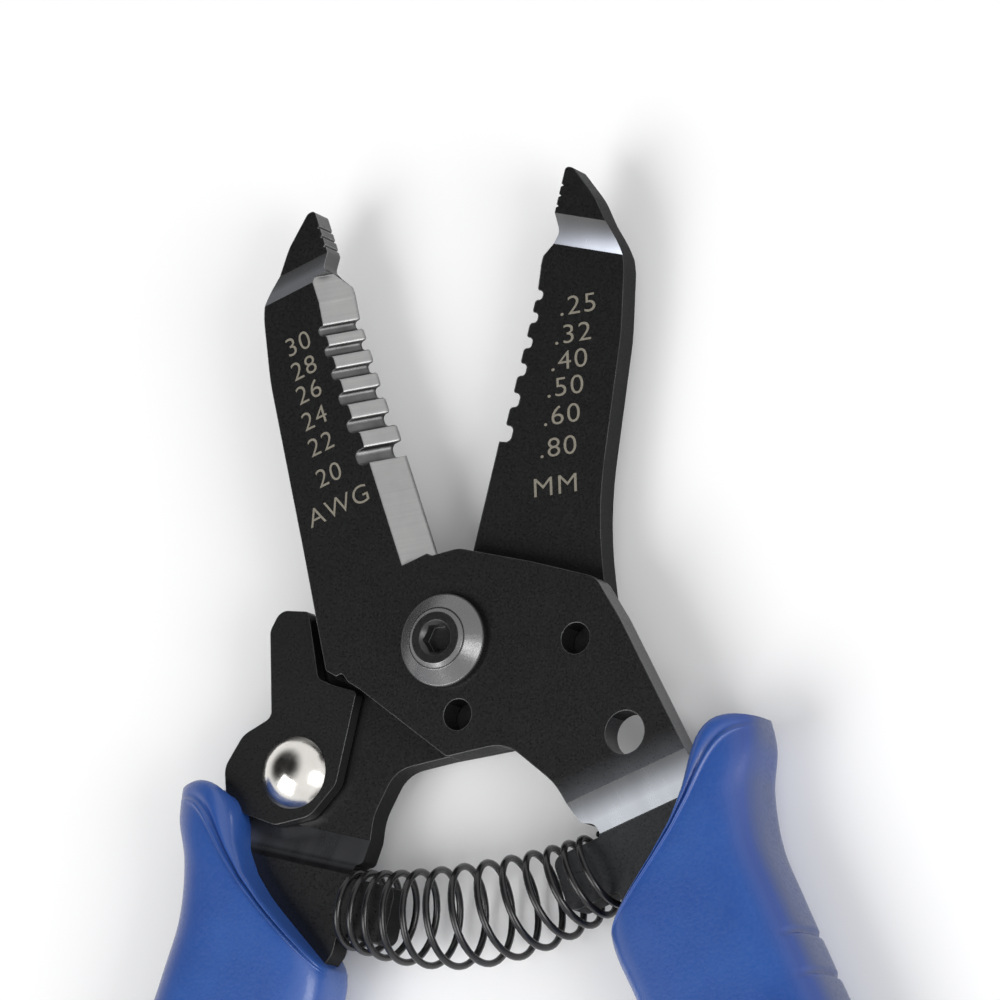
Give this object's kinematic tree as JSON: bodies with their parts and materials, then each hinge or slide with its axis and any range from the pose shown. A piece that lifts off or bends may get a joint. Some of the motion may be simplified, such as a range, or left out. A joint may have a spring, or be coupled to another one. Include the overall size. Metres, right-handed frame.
{
  "type": "precision wire stripper",
  "caption": "Plate-type wire stripper with notched, bevelled blades, short gripping nose, barrel return spring, thumb lock and dipped handle covers.",
  "frame": {"origin": "on the pivot axis, midway between the two levers", "axes": "+Z along the pivot axis out of the screw head's side; +Y towards the jaws; -Y towards the handles; rest pose open"},
  "size_m": [0.1067, 0.1566, 0.0126],
  "materials": {
    "black_lever": "satin black oxide",
    "black_latch": "satin black oxide",
    "black_screw": "semi-gloss black oxide",
    "bright_washer": "plain",
    "chrome_rivet": "polished",
    "black_spring": "glossy black",
    "blue_grip": "dipped vinyl, semi-gloss"
  },
  "bodies": {
    "rear_arm": {"rear_lever": "black_lever", "pivot_screw": "black_screw", "spring_washer": "bright_washer", "back_washer": "bright_washer", "pivot_nut": "black_screw", "latch_washer": "bright_washer", "latch_rivet": "chrome_rivet", "return_spring": "black_spring", "left_grip": "blue_grip"},
    "front_arm": {"front_lever": "black_lever", "right_grip": "blue_grip"},
    "latch": {"lock_latch": "black_latch"}
  },
  "joints": [
    {"name": "lever_pivot", "type": "hinge", "parent": "rear_arm", "child": "front_arm", "pos_m": [0, 0, 0], "axis": [0, 0, -1], "range_deg": [0, 34], "stiffness_Nm_per_rad": 0.6, "springref_deg": -11.46, "deforming": ["return_spring"]},
    {"name": "latch_pivot", "type": "hinge", "parent": "rear_arm", "child": "latch", "pos_m": [-0.02032, -0.01225, 0], "axis": [0, 0, 1], "range_deg": [0, 10]}
  ]
}
